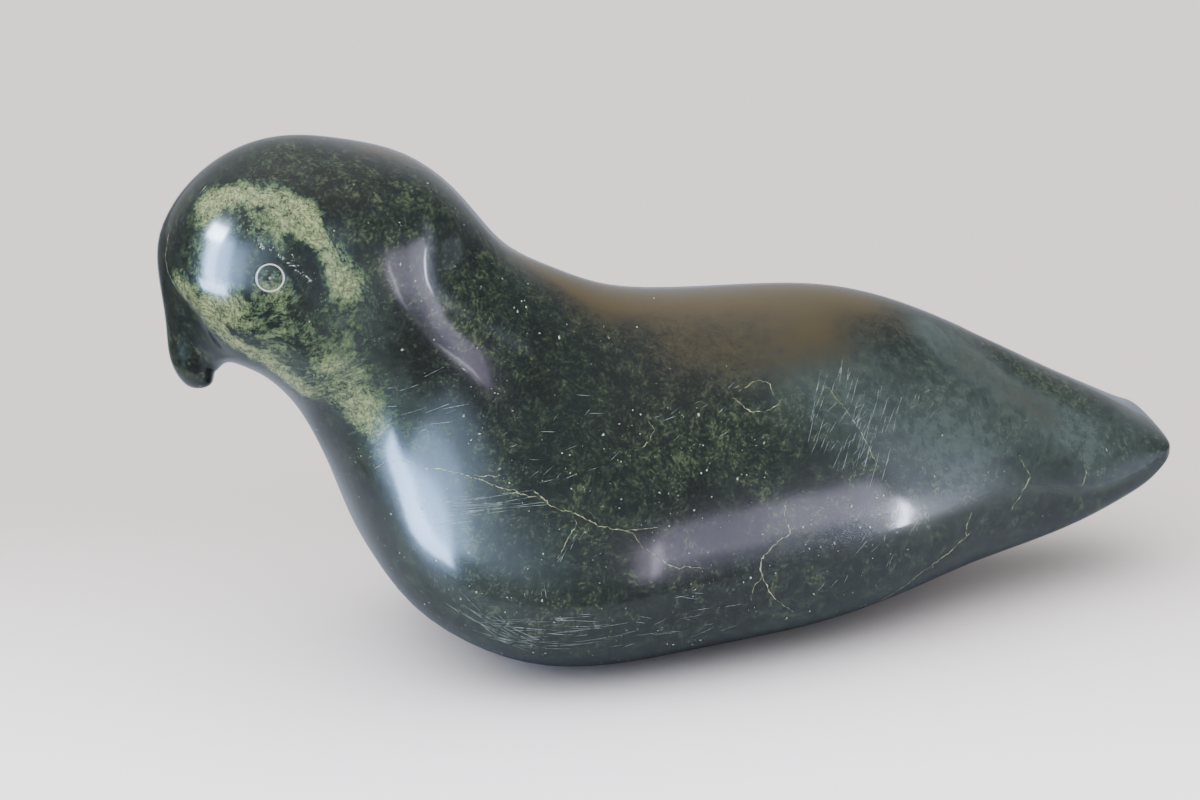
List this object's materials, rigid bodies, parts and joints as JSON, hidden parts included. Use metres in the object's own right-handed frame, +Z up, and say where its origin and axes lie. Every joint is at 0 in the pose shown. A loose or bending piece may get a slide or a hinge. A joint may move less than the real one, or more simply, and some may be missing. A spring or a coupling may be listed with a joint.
{
  "type": "serpentine bird carving",
  "caption": "Polished green-black stone carving of a resting bird, with a round head, a hooked beak, incised eyes and a body that tapers to a wedge tail, lying on its flattened belly.",
  "frame": {"origin": "centre of the bounding box's bottom, on the surface that the flattened belly rests on", "axes": "+X from the head to the tail, +Z up, -Y the bird's left side, which shows its eye, wing and flank; +X is the longest extent"},
  "size_m": [0.2994, 0.107, 0.1514],
  "materials": {
    "stone": null
  },
  "bodies": {
    "root": {"bird": "stone"}
  },
  "joints": []
}
